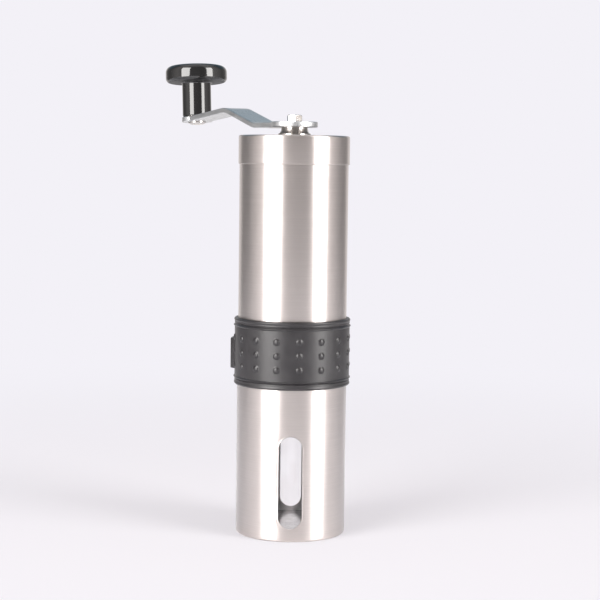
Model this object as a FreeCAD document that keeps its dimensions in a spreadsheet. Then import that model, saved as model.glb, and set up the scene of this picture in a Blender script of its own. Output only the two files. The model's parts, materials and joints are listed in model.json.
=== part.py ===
import FreeCAD, Part
import math
import os
import Sketcher

# Hand crank coffee grinder: a catch cup that stands on the table, a slim bean tube
# that plugs into it, a conical burr set between the two, and a crank arm on the
# hexagonal end of the drive shaft. Millimetres, +Z up, origin on the tube's axis in
# the plane of the cup's foot. The window faces -Y.

Vector = FreeCAD.Vector
Rotation = FreeCAD.Rotation
Placement = FreeCAD.Placement
UP = Vector(0, 0, 1)

DIMENSIONS = {
    # bean tube
    "tube_diameter": 48.0,
    "tube_wall": 0.8,
    "tube_length": 107.3,
    # lid, a cap over the tube's mouth
    "lid_wall": 0.4,
    "lid_height": 12.6,
    "lid_plate": 0.6,
    "lid_hole_gap": 0.7,
    "lid_edge": 0.9,
    # catch cup
    "cup_step": 0.3,
    "cup_lead_in": 0.2,
    "cup_wall": 0.5,
    "cup_height": 67.4,
    "cup_edge": 0.3,
    "floor_height": 4.0,
    "floor_plate": 0.6,
    # window slots in the cup, one in front and one behind
    "slot_width": 10.4,
    "slot_bottom": 5.8,
    "slot_length": 40.5,
    "pane_thickness": 0.8,
    "pane_margin": 2.0,
    # rubber grip band
    "band_height": 29.5,
    "band_thickness": 1.5,
    "band_overlap": 0.9,
    "ridge_height": 0.45,
    "ridge_width": 1.3,
    "ridge_crest": 0.65,
    "ridge_inset": 3.3,
    "bump_rows": 3,
    "bump_columns": 16,
    "bump_diameter": 2.5,
    "bump_crest": 1.25,
    "bump_height": 0.4,
    "bump_pitch": 6.1,
    "bump_turn": 277.6,
    "loop_turn": 168.0,
    "loop_span": 40.0,
    "loop_height": 13.4,
    "loop_drop": 1.4,
    "loop_gap": 0.8,
    "loop_strap": 1.0,
    # burr carrier
    "shoulder_height": 0.8,
    "neck_length": 17.4,
    "skirt_height": 20.0,
    "skirt_wall": 1.4,
    "throat_diameter": 31.0,
    "throat_height": 2.0,
    "hub_diameter": 13.0,
    "hub_height": 10.0,
    "hub_drop": 2.0,
    "spoke_count": 3,
    "spoke_width": 3.2,
    "spoke_height": 7.0,
    # burrs
    "ring_burr_diameter": 38.0,
    "ring_burr_height": 14.0,
    "ring_burr_mouth": 25.0,
    "ring_burr_exit": 34.0,
    "ring_burr_teeth": 24,
    "grind_gap": 0.5,
    "cone_burr_foot": 1.4,
    "cone_burr_nose": 6.0,
    "cone_burr_top": 16.0,
    "cone_burr_teeth": 12,
    "tooth_depth": 0.9,
    "tooth_run_out": 0.27,
    "tooth_width": 1.3,
    "spring_pocket": 5.0,
    "spring_pocket_diameter": 11.4,
    # retainer ring and its screws
    "retainer_height": 2.4,
    "retainer_bore": 35.2,
    "screw_count": 3,
    "screw_circle": 42.6,
    "screw_diameter": 2.2,
    "screw_head": 4.0,
    "screw_head_height": 1.2,
    "screw_length": 9.0,
    # bushes and the bridge near the tube's mouth
    "bush_diameter": 9.6,
    "bridge_drop": 17.0,
    "bridge_height": 8.0,
    "bridge_wall": 1.6,
    # drive shaft
    "shaft_diameter": 7.0,
    "shaft_flats": 6.0,
    "shaft_turn": 40.0,
    "shaft_stickout": 9.1,
    "shaft_hex_length": 5.4,
    "shaft_end": 44.0,
    "thread_diameter": 5.0,
    "thread_length": 8.0,
    "clip_groove": 0.6,
    "clip_thickness": 0.9,
    "clip_diameter": 13.0,
    "washer_thickness": 0.8,
    "washer_diameter": 10.6,
    # spring
    "spring_wire": 0.9,
    "spring_turns": 3.5,
    "spring_play": 0.4,
    # adjusting nut and click plate
    "plate_thickness": 1.2,
    "plate_diameter": 20.0,
    "nut_diameter": 24.0,
    "nut_height": 5.0,
    "nut_lobes": 12,
    "nut_lobe_depth": 0.9,
    "nut_lobe_diameter": 3.2,
    # crank
    "crank_turn": 115.0,
    "arm_thickness": 2.4,
    "arm_width": 12.0,
    "arm_reach": 118.0,
    "arm_first_bend": 32.5,
    "arm_second_bend": 67.0,
    "arm_rise": 8.0,
    "arm_droop": 4.0,
    "arm_bend_radius": 30.0,
    "hub_eye": 20.4,
    "knob_eye": 15.3,
    "collar_top": 11.6,
    "collar_bottom": 14.4,
    # knob
    "knob_diameter": 30.9,
    "knob_thickness": 8.3,
    "knob_edge": 2.2,
    "stem_diameter": 14.5,
    "stem_length": 16.9,
    "pin_diameter": 5.0,
    "pin_head": 9.0,
    "pin_head_height": 1.2,
    "knob_washer_thickness": 0.4,
    "knob_washer_diameter": 12.0,
    "knob_cap_diameter": 20.0,
    "knob_cap_thickness": 1.2,
    "knob_pocket_depth": 4.4,
    "knob_cap_ledge": 1.0,
    # clearances
    "slip_gap": 0.1,
    "running_gap": 0.06,
    "moving_gap": 0.3,
    "press_gap": 0.02,
}


class Size:
    # A length or angle that keeps both its number and the expression behind it.
    def __init__(self, value, text):
        self.value = value
        self.text = text

    def combined(self, other, sign, result):
        return Size(result, "(%s %s %s)" % (self.text, sign, other.text))

    def __add__(self, other):
        other = as_size(other)
        return self.combined(other, "+", self.value + other.value)

    def __sub__(self, other):
        other = as_size(other)
        return self.combined(other, "-", self.value - other.value)

    def __mul__(self, other):
        other = as_size(other)
        return self.combined(other, "*", self.value * other.value)

    def __truediv__(self, other):
        other = as_size(other)
        return self.combined(other, "/", self.value / other.value)

    def __neg__(self):
        return Size(-self.value, "(0 - %s)" % self.text)


def as_size(number):
    if isinstance(number, Size):
        return number
    if number < 0:
        return Size(float(number), "(0 - %.9f)" % -number)
    return Size(float(number), "%.9f" % number)


class Sizes:
    # Gives every alias of the sheet as an attribute.
    def __init__(self, table):
        for alias, value in table.items():
            setattr(self, alias, Size(float(value), "sizes." + alias))


def make_sheet(doc):
    sheet = doc.addObject("Spreadsheet::Sheet", "sizes")
    for row, (alias, value) in enumerate(DIMENSIONS.items(), start=1):
        sheet.set("A%d" % row, alias)
        sheet.set("B%d" % row, str(value))
        sheet.setAlias("B%d" % row, alias)
    doc.recompute()
    return sheet


doc = FreeCAD.newDocument("coffee_grinder")
make_sheet(doc)
s = Sizes(DIMENSIONS)
parts = []

# Heights and radii that several pieces share.
tube_outer = s.tube_diameter / 2
tube_inner = tube_outer - s.tube_wall
cup_outer = tube_outer + s.cup_step
cup_inner = cup_outer - s.cup_wall
band_outer = tube_outer + s.band_thickness
band_bottom = s.cup_height - s.band_overlap
band_middle = band_bottom + s.band_height / 2
tube_bottom = s.cup_height + s.shoulder_height
tube_top = tube_bottom + s.tube_length
lid_top = tube_top + s.lid_plate
arm_seat = lid_top + s.shaft_stickout - s.shaft_hex_length
neck_bottom = s.cup_height - s.neck_length
ring_burr_bottom = neck_bottom + s.retainer_height
ring_burr_top = ring_burr_bottom + s.ring_burr_height
skirt_outer = tube_inner - s.slip_gap
skirt_top = tube_bottom + s.skirt_height
hub_top = skirt_top - s.hub_drop
hub_bottom = hub_top - s.hub_height
cone_burr_bottom = ring_burr_bottom - s.cone_burr_foot
cone_burr_top = ring_burr_top + s.cone_burr_nose
spring_bottom = cone_burr_top - s.spring_pocket
washer_top = hub_bottom - s.slip_gap
spring_top = washer_top - s.washer_thickness
bridge_top = tube_top - s.bridge_drop
bridge_bottom = bridge_top - s.bridge_height
shaft_radius = s.shaft_diameter / 2
bush_inner = shaft_radius + s.running_gap
clip_bottom = bridge_top + s.slip_gap
thread_top = s.shaft_end + s.thread_length
plate_bottom = cone_burr_bottom - s.plate_thickness
knob_plate_radius = s.knob_diameter / 2
hex_corner = 2 / math.sqrt(3)

# How far a cut starts and ends outside the material, and shares of a piece's own size.
over = 1.0
pilot_share = 0.6
clip_mouth_share = 0.8
nut_relief_share = 0.5
collar_rim_share = 0.12
collar_waist_share = 0.28
collar_waist_height = 0.5
pin_head_face_share = 0.7
pin_head_rim_share = 0.4


def plane_of(body, role):
    for feature in body.Origin.OriginFeatures:
        if feature.Role == role:
            return feature
    raise ValueError("no plane " + role)


def bind(feature, prop, size):
    size = as_size(size)
    feature.setExpression(prop, size.text)


def new_body(label):
    body = doc.addObject("PartDesign::Body", label)
    body.Label = label
    parts.append(body)
    return body


def new_sketch(body, role, height=None, turn=None):
    # height lifts a sketch on XY, turn swings a sketch on XZ about the tube's axis.
    sketch = body.newObject("Sketcher::SketchObject", body.Label + "_sketch")
    sketch.AttachmentSupport = [(plane_of(body, role), "")]
    sketch.MapMode = "FlatFace"
    if height is not None:
        bind(sketch, "AttachmentOffset.Base.z", height)
    if turn is not None:
        sketch.AttachmentOffset = Placement(Vector(), Rotation(Vector(0, 1, 0), turn.value))
        bind(sketch, "AttachmentOffset.Rotation.Angle", turn)
    return sketch


def fix_number(sketch, kind, first, second, size):
    # A datum constraint of a point from the sketch's origin, bound to its size.
    axis = -2 if kind == "DistanceX" else -1
    if abs(size.value) < 1e-7:
        sketch.addConstraint(Sketcher.Constraint("PointOnObject", first, second, axis))
        return
    index = sketch.addConstraint(
        Sketcher.Constraint(kind, -1, 1, first, second, size.value))
    bind(sketch, "Constraints[%d]" % index, size)


def fix_point(sketch, geometry, point, across, up):
    fix_number(sketch, "DistanceX", geometry, point, as_size(across))
    fix_number(sketch, "DistanceY", geometry, point, as_size(up))


def draw_outline(sketch, points):
    # A closed run of straight lines through the points.
    points = [(as_size(across), as_size(up)) for across, up in points]
    places = [Vector(across.value, up.value, 0) for across, up in points]
    count = len(points)
    lines = []
    for start in range(count):
        end = (start + 1) % count
        line = Part.LineSegment(places[start], places[end])
        lines.append(sketch.addGeometry(line, False))
    for start in range(count):
        end = (start + 1) % count
        sketch.addConstraint(Sketcher.Constraint("Coincident", lines[start], 2, lines[end], 1))
    for line, (across, up) in zip(lines, points):
        fix_point(sketch, line, 1, across, up)


def draw_circle(sketch, across, up, radius):
    radius = as_size(radius)
    centre = Vector(as_size(across).value, as_size(up).value, 0)
    circle = sketch.addGeometry(Part.Circle(centre, UP, radius.value), False)
    index = sketch.addConstraint(Sketcher.Constraint("Radius", circle, radius.value))
    bind(sketch, "Constraints[%d]" % index, radius)
    fix_point(sketch, circle, 3, across, up)


def draw_stadium(sketch, radius, low, high):
    # An upright slot on the sketch's vertical axis, with its arc centres at low and high.
    top = Part.Circle(Vector(0, high.value, 0), UP, radius.value)
    bottom = Part.Circle(Vector(0, low.value, 0), UP, radius.value)
    left_top = Vector(-radius.value, high.value, 0)
    left_bottom = Vector(-radius.value, low.value, 0)
    right_top = Vector(radius.value, high.value, 0)
    right_bottom = Vector(radius.value, low.value, 0)
    upper = sketch.addGeometry(Part.ArcOfCircle(top, 0, math.pi), False)
    left = sketch.addGeometry(Part.LineSegment(left_top, left_bottom), False)
    lower = sketch.addGeometry(Part.ArcOfCircle(bottom, math.pi, 2 * math.pi), False)
    right = sketch.addGeometry(Part.LineSegment(right_bottom, right_top), False)
    chain = [upper, left, lower, right]
    for place, element in enumerate(chain):
        following = chain[(place + 1) % len(chain)]
        sketch.addConstraint(Sketcher.Constraint("Tangent", element, 2, following, 1))
    sketch.addConstraint(Sketcher.Constraint("Vertical", left))
    index = sketch.addConstraint(Sketcher.Constraint("Radius", upper, radius.value))
    bind(sketch, "Constraints[%d]" % index, radius)
    fix_point(sketch, upper, 3, 0, high)
    fix_point(sketch, lower, 3, 0, low)


def set_both_sides(feature):
    # A pad, pocket, revolution or groove that grows equally to both sides.
    if "SideType" in feature.PropertiesList:
        feature.SideType = "Symmetric"
    else:
        feature.Midplane = True


def turn_profile(body, points, cut=False, span=None, turn=None):
    # Turns a closed outline in the radius-height plane about the upright axis.
    sketch = new_sketch(body, "XZ_Plane", turn=turn)
    draw_outline(sketch, points)
    kind = "PartDesign::Groove" if cut else "PartDesign::Revolution"
    feature = body.newObject(kind, body.Label + "_turn")
    feature.Profile = sketch
    feature.ReferenceAxis = (sketch, ["V_Axis"])
    feature.Angle = 360
    if span is not None:
        set_both_sides(feature)
        bind(feature, "Angle", span)
    sketch.Visibility = False
    doc.recompute()
    return feature


def pad_outline(body, points, height, length):
    sketch = new_sketch(body, "XY_Plane", height=height)
    draw_outline(sketch, points)
    feature = body.newObject("PartDesign::Pad", body.Label + "_pad")
    feature.Profile = sketch
    bind(feature, "Length", length)
    doc.recompute()
    return feature


def cut_upward(body, draw, height, length):
    # A pocket from height upwards; draw puts its outline into the sketch.
    before = body.Shape.Volume
    sketch = new_sketch(body, "XY_Plane", height=height)
    draw(sketch)
    feature = body.newObject("PartDesign::Pocket", body.Label + "_pocket")
    feature.Profile = sketch
    feature.Reversed = True
    bind(feature, "Length", length)
    doc.recompute()
    if body.Shape.Volume > before - 1e-3:
        raise ValueError("a pocket of %s cuts nothing" % body.Label)
    return feature


def repeat_round(body, feature, count, axis="N_Axis"):
    pattern = body.newObject("PartDesign::PolarPattern", body.Label + "_pattern")
    pattern.Originals = [feature]
    pattern.Axis = (feature.Profile[0], [axis])
    pattern.Angle = 360
    bind(pattern, "Occurrences", count)
    body.Tip = pattern
    doc.recompute()
    return pattern


def round_rims(body, radius, rims):
    # Fillets the circular edges that lie at the given radius and height.
    base = body.Tip
    names = []
    for index, edge in enumerate(base.Shape.Edges, start=1):
        curve = edge.Curve
        if not isinstance(curve, Part.Circle):
            continue
        for rim_radius, rim_height in rims:
            near_radius = abs(curve.Radius - rim_radius.value) < 1e-4
            near_height = abs(curve.Center.z - rim_height.value) < 1e-4
            if near_radius and near_height:
                names.append("Edge%d" % index)
    if len(names) < len(rims):
        raise ValueError("a rim of %s is missing" % body.Label)
    fillet = body.newObject("PartDesign::Fillet", body.Label + "_fillet")
    fillet.Base = (base, names)
    bind(fillet, "Radius", radius)
    body.Tip = fillet
    doc.recompute()
    return fillet


def cosine(angle):
    return Size(math.cos(math.radians(angle.value)), "cos(%s)" % angle.text)


def sine(angle):
    return Size(math.sin(math.radians(angle.value)), "sin(%s)" % angle.text)


def hexagon(flats, turn):
    corner = flats / 2 * hex_corner
    angles = [turn + 60 * step for step in range(6)]
    return [(corner * cosine(angle), corner * sine(angle)) for angle in angles]


def ring_profile(inner, outer, bottom, top):
    return [(inner, bottom), (outer, bottom), (outer, top), (inner, top)]


# ---------------------------------------------------------------- catch cup

def make_catch_cup():
    body = new_body("catch_cup")
    # the wall's outside narrows from where the band begins, so that the tube slips on
    base = Size(0.0, "0")
    turn_profile(body, [(cup_inner, base), (cup_outer, base), (cup_outer, band_bottom),
                        (cup_outer - s.cup_lead_in, s.cup_height), (cup_inner, s.cup_height)])
    sketch = new_sketch(body, "XZ_Plane")
    radius = s.slot_width / 2
    low = s.slot_bottom + radius
    high = s.slot_bottom + s.slot_length - radius
    draw_stadium(sketch, radius, low, high)
    pocket = body.newObject("PartDesign::Pocket", "window_slots")
    pocket.Profile = sketch
    pocket.Type = "ThroughAll"
    set_both_sides(pocket)
    doc.recompute()


def make_cup_floor():
    # A pressed pan welded inside the cup's lower end, open downwards.
    body = new_body("cup_floor")
    outer = cup_inner - s.press_gap
    inner = outer - s.floor_plate
    under = s.floor_height - s.floor_plate
    points = [(0, under), (inner, under), (inner, s.cup_edge), (outer, s.cup_edge),
              (outer, s.floor_height), (0, s.floor_height)]
    turn_profile(body, points)


def make_pane(label, turn):
    # A clear pane: a curved flange inside the cup wall and a raised panel in the slot.
    inner = cup_inner - s.slip_gap - s.pane_thickness
    flange = cup_inner - s.slip_gap
    radius = s.slot_width / 2 - s.slip_gap
    low = s.slot_bottom + s.slot_width / 2
    high = s.slot_bottom + s.slot_length - s.slot_width / 2
    half = s.slot_width / 2 + s.pane_margin
    bottom = s.floor_height + s.slip_gap
    height = s.slot_bottom + s.slot_length + s.pane_margin - bottom

    def cylinder(name, size, start, length):
        piece = doc.addObject("Part::Cylinder", label + name)
        bind(piece, "Radius", size)
        bind(piece, "Height", length)
        bind(piece, "Placement.Base.z", start)
        return piece

    def block(name, reach, start, length):
        piece = doc.addObject("Part::Box", label + name)
        bind(piece, "Length", reach * 2)
        bind(piece, "Width", cup_outer * 2)
        bind(piece, "Height", length)
        bind(piece, "Placement.Base.x", -reach)
        bind(piece, "Placement.Base.y", -cup_outer * 2)
        bind(piece, "Placement.Base.z", start)
        return piece

    def round_end(name, at_height):
        piece = doc.addObject("Part::Cylinder", label + name)
        piece.Placement = Placement(Vector(0, 0, at_height.value), Rotation(Vector(1, 0, 0), 90))
        bind(piece, "Radius", radius)
        bind(piece, "Height", cup_outer * 2)
        bind(piece, "Placement.Base.z", at_height)
        return piece

    bore = cylinder("_bore", inner, bottom - over, height + over * 2)
    sheet = cylinder("_sheet", flange, bottom, height)
    face = cylinder("_face", cup_outer - s.slip_gap / 2, bottom, height)
    flange_piece = doc.addObject("Part::Common", label + "_flange")
    flange_piece.Base = sheet
    flange_piece.Tool = block("_flange_block", half, bottom, height)
    slot_shape = doc.addObject("Part::MultiFuse", label + "_slot")
    slot_shape.Shapes = [block("_slot_block", radius, low, high - low),
                         round_end("_lower_end", low), round_end("_upper_end", high)]
    panel = doc.addObject("Part::Common", label + "_panel")
    panel.Base = face
    panel.Tool = slot_shape
    whole = doc.addObject("Part::MultiFuse", label + "_whole")
    whole.Shapes = [flange_piece, panel]
    pane = doc.addObject("Part::Cut", label)
    pane.Base = whole
    pane.Tool = bore
    pane.Placement = Placement(Vector(), Rotation(UP, turn))
    pane.Label = label
    parts.append(pane)


# ---------------------------------------------------------------- bean tube

def make_main_tube():
    body = new_body("main_tube")
    turn_profile(body, ring_profile(tube_inner, tube_outer, tube_bottom, tube_top))


def make_lid():
    body = new_body("lid")
    inner = tube_outer + s.slip_gap
    outer = inner + s.lid_wall
    hole = shaft_radius + s.lid_hole_gap
    under = lid_top - s.lid_plate
    skirt_end = lid_top - s.lid_height
    points = [(hole, under), (inner, under), (inner, skirt_end),
              (outer, skirt_end), (outer, lid_top), (hole, lid_top)]
    turn_profile(body, points)
    round_rims(body, s.lid_edge, [(outer, lid_top)])


def make_grip_band():
    body = new_body("grip_band")
    bore = tube_outer + s.slip_gap
    relief = cup_outer + s.moving_gap
    relief_top = s.cup_height + s.moving_gap
    top = band_bottom + s.band_height
    ridge = band_outer + s.ridge_height
    half_ridge = s.ridge_width / 2
    half_crest = s.ridge_crest / 2
    low_ridge = band_bottom + s.ridge_inset
    high_ridge = top - s.ridge_inset
    points = [(relief, band_bottom), (band_outer, band_bottom)]
    for middle in (low_ridge, high_ridge):
        points += [(band_outer, middle - half_ridge), (ridge, middle - half_crest),
                   (ridge, middle + half_crest), (band_outer, middle + half_ridge)]
    points += [(band_outer, top), (bore, top), (bore, relief_top), (relief, relief_top)]
    turn_profile(body, points)
    # loop that stows the crank arm: a block swept round the band, then its slot
    strap_inner = band_outer + s.loop_gap
    strap_outer = strap_inner + s.loop_strap
    low = band_middle - s.loop_drop - s.loop_height / 2
    high = low + s.loop_height
    sunk = band_outer - s.band_thickness / 2
    turn_profile(body, ring_profile(sunk, strap_outer, low, high),
                 span=s.loop_span, turn=s.loop_turn)
    end_wall = s.loop_strap / strap_outer * math.degrees(1)
    turn_profile(body, ring_profile(band_outer, strap_inner, low - over, high + over), cut=True,
                 span=s.loop_span - end_wall * 2, turn=s.loop_turn)
    # rows of round bumps
    foot = s.bump_diameter / 2
    tip = s.bump_crest / 2
    raised = band_outer + s.bump_height
    first_row = -(s.bump_rows - 1) / 2
    for row in range(DIMENSIONS["bump_rows"]):
        middle = band_middle + s.bump_pitch * (first_row + row)
        bump = turn_bump(body, sunk, foot, raised, tip, middle)
        repeat_round(body, bump, s.bump_columns, axis="V_Axis")


def turn_bump(body, sunk, foot, raised, tip, middle):
    # One bump: half its section, turned about a level line through its middle.
    sketch = new_sketch(body, "XZ_Plane", turn=s.bump_turn)
    draw_outline(sketch, [(sunk, middle), (raised, middle), (raised, middle + tip),
                          (band_outer, middle + foot), (sunk, middle + foot)])
    start = Vector(sunk.value, middle.value, 0)
    end = Vector(raised.value, middle.value, 0)
    axis = sketch.addGeometry(Part.LineSegment(start, end), True)
    fix_point(sketch, axis, 1, sunk, middle)
    fix_point(sketch, axis, 2, raised, middle)
    feature = body.newObject("PartDesign::Revolution", "bump")
    feature.Profile = sketch
    feature.ReferenceAxis = (sketch, ["Axis0"])
    feature.Angle = 360
    doc.recompute()
    return feature


# ---------------------------------------------------------------- burr carrier

def add_spokes(body, inner, outer, bottom, height):
    half = s.spoke_width / 2
    points = [(inner, -half), (outer, -half), (outer, half), (inner, half)]
    spoke = pad_outline(body, points, bottom, height)
    repeat_round(body, spoke, s.spoke_count)


def make_burr_housing():
    # Neck that the cup slips over, shoulder between cup and tube, funnel and spider.
    body = new_body("burr_housing")
    neck_outer = cup_inner - s.slip_gap
    pocket = s.ring_burr_diameter / 2 + s.slip_gap
    throat = s.throat_diameter / 2
    throat_top = ring_burr_top + s.throat_height
    points = [(pocket, ring_burr_bottom), (neck_outer, ring_burr_bottom),
              (neck_outer, s.cup_height), (tube_outer, s.cup_height),
              (tube_outer, tube_bottom), (skirt_outer, tube_bottom),
              (skirt_outer, skirt_top), (skirt_outer - s.skirt_wall, skirt_top),
              (throat, throat_top), (throat, ring_burr_top), (pocket, ring_burr_top)]
    turn_profile(body, points)
    bush_seat = s.bush_diameter / 2 + s.press_gap
    add_hub(body, bush_seat, hub_bottom, hub_top, skirt_outer - s.skirt_wall / 2)
    hole = s.screw_diameter / 2 + s.press_gap

    def screw_hole(sketch):
        draw_circle(sketch, s.screw_circle / 2, 0, hole)

    depth = s.screw_length - s.retainer_height + s.screw_head_height
    pilot = cut_upward(body, screw_hole, ring_burr_bottom, depth)
    repeat_round(body, pilot, s.screw_count)


def add_hub(body, bore, bottom, top, reach):
    # Spokes out to the wall, a hub over their inner ends, and the bore for the bush.
    rise = (top - bottom - s.spoke_height) / 2
    add_spokes(body, s.hub_diameter / 4, reach, bottom + rise, s.spoke_height)
    hub = s.hub_diameter / 2
    turn_profile(body, [(0, bottom), (hub, bottom), (hub, top), (0, top)])
    turn_profile(body, [(0, bottom - over), (bore, bottom - over), (bore, top + over), (0, top + over)],
                 cut=True)


def make_upper_bridge():
    body = new_body("upper_bridge")
    ring_inner = skirt_outer - s.bridge_wall
    turn_profile(body, ring_profile(ring_inner, skirt_outer, bridge_bottom, bridge_top))
    bush_seat = s.bush_diameter / 2 + s.press_gap
    add_hub(body, bush_seat, bridge_bottom, bridge_top,
                     skirt_outer - s.bridge_wall / 2)


def make_bush(label, bottom, top):
    body = new_body(label)
    turn_profile(body, ring_profile(bush_inner, s.bush_diameter / 2, bottom, top))


def make_burr_retainer():
    body = new_body("burr_retainer")
    outer = cup_inner - s.slip_gap - s.moving_gap
    turn_profile(body, ring_profile(s.retainer_bore / 2, outer, neck_bottom, ring_burr_bottom))
    hole = s.screw_diameter / 2 + s.press_gap

    def through_hole(sketch):
        draw_circle(sketch, s.screw_circle / 2, 0, hole)

    def head_recess(sketch):
        draw_circle(sketch, s.screw_circle / 2, 0, s.screw_head / 2 + s.press_gap)

    bored = cut_upward(body, through_hole, neck_bottom - over, s.retainer_height + over * 2)
    repeat_round(body, bored, s.screw_count)
    recess = cut_upward(body, head_recess, neck_bottom - over, s.screw_head_height + over)
    repeat_round(body, recess, s.screw_count)


def make_retainer_screws():
    # Identical screws, pointing up through the retainer into the housing.
    screws = doc.addObject("Part::MultiFuse", "retainer_screws")
    screws.Label = "retainer_screws"
    pieces = []
    for index in range(DIMENSIONS["screw_count"]):
        turn = math.radians(360 * index / DIMENSIONS["screw_count"])
        across = s.screw_circle / 2 * math.cos(turn)
        along = s.screw_circle / 2 * math.sin(turn)
        for name, size, length in (
                ("head", s.screw_head, s.screw_head_height),
                ("shank", s.screw_diameter, s.screw_length)):
            piece = doc.addObject("Part::Cylinder", "screw_%s_%d" % (name, index))
            bind(piece, "Radius", size / 2)
            bind(piece, "Height", length)
            bind(piece, "Placement.Base.x", across)
            bind(piece, "Placement.Base.y", along)
            bind(piece, "Placement.Base.z", neck_bottom)
            pieces.append(piece)
    screws.Shapes = pieces
    parts.append(screws)


# ---------------------------------------------------------------- burrs

def mouth_radius_at(height):
    # Radius of the ring burr's tapered bore at a height.
    mouth = s.ring_burr_mouth / 2
    exit_radius = s.ring_burr_exit / 2
    slope = (exit_radius - mouth) / s.ring_burr_height
    return mouth + slope * (ring_burr_top - height)


def cut_teeth(body, points, count):
    # A groove of the teeth's width along the cone, repeated round the axis.
    before = body.Shape.Volume
    sketch = new_sketch(body, "XZ_Plane")
    draw_outline(sketch, points)
    groove = body.newObject("PartDesign::Pocket", body.Label + "_tooth")
    groove.Profile = sketch
    set_both_sides(groove)
    bind(groove, "Length", s.tooth_width)
    doc.recompute()
    if body.Shape.Volume > before - 1e-3:
        raise ValueError("the teeth of %s cut nothing" % body.Label)
    repeat_round(body, groove, count, axis="V_Axis")


def make_ring_burr():
    body = new_body("ring_burr")
    outer = s.ring_burr_diameter / 2
    low = mouth_radius_at(ring_burr_bottom)
    high = mouth_radius_at(ring_burr_top)
    turn_profile(body, [(low, ring_burr_bottom), (outer, ring_burr_bottom),
                        (outer, ring_burr_top), (high, ring_burr_top)])
    points = [(low - over, ring_burr_bottom - over), (low + s.tooth_run_out, ring_burr_bottom - over),
              (high + s.tooth_depth, ring_burr_top + over), (high - over, ring_burr_top + over)]
    cut_teeth(body, points, s.ring_burr_teeth)


def make_cone_burr():
    body = new_body("cone_burr")
    pilot = s.shaft_flats / 2 * pilot_share
    foot = mouth_radius_at(cone_burr_bottom) - s.grind_gap
    waist = mouth_radius_at(ring_burr_top) - s.grind_gap
    nose = s.cone_burr_top / 2
    pocket = s.spring_pocket_diameter / 2
    turn_profile(body, [(pilot, cone_burr_bottom), (foot, cone_burr_bottom),
                        (waist, ring_burr_top), (nose, cone_burr_top),
                        (pocket, cone_burr_top), (pocket, spring_bottom),
                        (pilot, spring_bottom)])
    points = [(foot - s.tooth_run_out, cone_burr_bottom - over), (foot + over, cone_burr_bottom - over),
              (waist + over, ring_burr_top), (waist - s.tooth_depth, ring_burr_top)]
    cut_teeth(body, points, s.cone_burr_teeth)
    flats = s.shaft_flats + s.slip_gap * 2

    def hex_bore(sketch):
        draw_outline(sketch, hexagon(flats, s.shaft_turn))

    cut_upward(body, hex_bore, cone_burr_bottom - over, s.ring_burr_height + s.cone_burr_nose * 2)


# ---------------------------------------------------------------- drive shaft

def make_drive_shaft():
    # Threaded lower end, hexagon through the cone burr, round middle, hexagon on top.
    body = new_body("drive_shaft")
    thread = s.thread_diameter / 2
    groove = shaft_radius - s.clip_groove
    clip_top = clip_bottom + s.clip_thickness
    turn_profile(body, [(0, s.shaft_end), (thread, s.shaft_end), (thread, thread_top),
                        (0, thread_top)])
    pad_outline(body, hexagon(s.shaft_flats, s.shaft_turn), thread_top, hub_bottom - thread_top)
    turn_profile(body, [(0, hub_bottom), (shaft_radius, hub_bottom),
                        (shaft_radius, clip_bottom), (groove, clip_bottom),
                        (groove, clip_top), (shaft_radius, clip_top),
                        (shaft_radius, arm_seat), (0, arm_seat)])
    pad_outline(body, hexagon(s.shaft_flats, s.shaft_turn), arm_seat, s.shaft_hex_length)


def make_shaft_clip():
    # Retaining clip that snaps into the groove above the upper bush.
    body = new_body("shaft_clip")
    inner = shaft_radius - s.clip_groove + s.press_gap
    top = clip_bottom + s.clip_thickness - s.press_gap
    outer = s.clip_diameter / 2
    turn_profile(body, ring_profile(inner, outer, clip_bottom + s.press_gap, top))
    mouth = inner * clip_mouth_share

    def open_side(sketch):
        draw_outline(sketch, [(0, -mouth), (outer + over, -mouth), (outer + over, mouth), (0, mouth)])

    cut_upward(body, open_side, clip_bottom - over, s.clip_thickness + over * 2)


def make_thrust_washer():
    body = new_body("thrust_washer")
    turn_profile(body, ring_profile(shaft_radius + s.slip_gap, s.washer_diameter / 2,
                                    spring_top, washer_top))


def make_burr_spring():
    # Pushes the cone burr down against the adjusting nut.
    wire = s.spring_wire / 2
    length = spring_top - spring_bottom - s.spring_wire - s.slip_gap * 2
    mean = shaft_radius + s.spring_play + wire
    start = spring_bottom + wire + s.slip_gap
    helix = doc.addObject("Part::Helix", "spring_path")
    bind(helix, "Pitch", length / s.spring_turns)
    bind(helix, "Height", length)
    bind(helix, "Radius", mean)
    bind(helix, "Placement.Base.z", start)
    section = doc.addObject("Part::Circle", "spring_section")
    section.Placement = Placement(Vector(mean.value, 0, start.value),
                                  Rotation(Vector(1, 0, 0), 90))
    bind(section, "Radius", wire)
    bind(section, "Placement.Base.x", mean)
    bind(section, "Placement.Base.z", start)
    spring = doc.addObject("Part::Sweep", "burr_spring")
    spring.Sections = [section]
    doc.recompute()
    spring.Spine = (helix, ["Edge1"])
    spring.Solid = True
    spring.Frenet = True
    spring.Label = "burr_spring"
    parts.append(spring)
    doc.recompute()


def make_click_plate():
    # Dimpled plate under the cone burr that the adjusting nut clicks against.
    body = new_body("click_plate")
    flats = s.shaft_flats + s.slip_gap * 2
    turn_profile(body, [(0, plate_bottom), (s.plate_diameter / 2, plate_bottom),
                        (s.plate_diameter / 2, cone_burr_bottom), (0, cone_burr_bottom)])

    def hex_bore(sketch):
        draw_outline(sketch, hexagon(flats, s.shaft_turn))

    cut_upward(body, hex_bore, plate_bottom - over, s.plate_thickness + over * 2)


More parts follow.
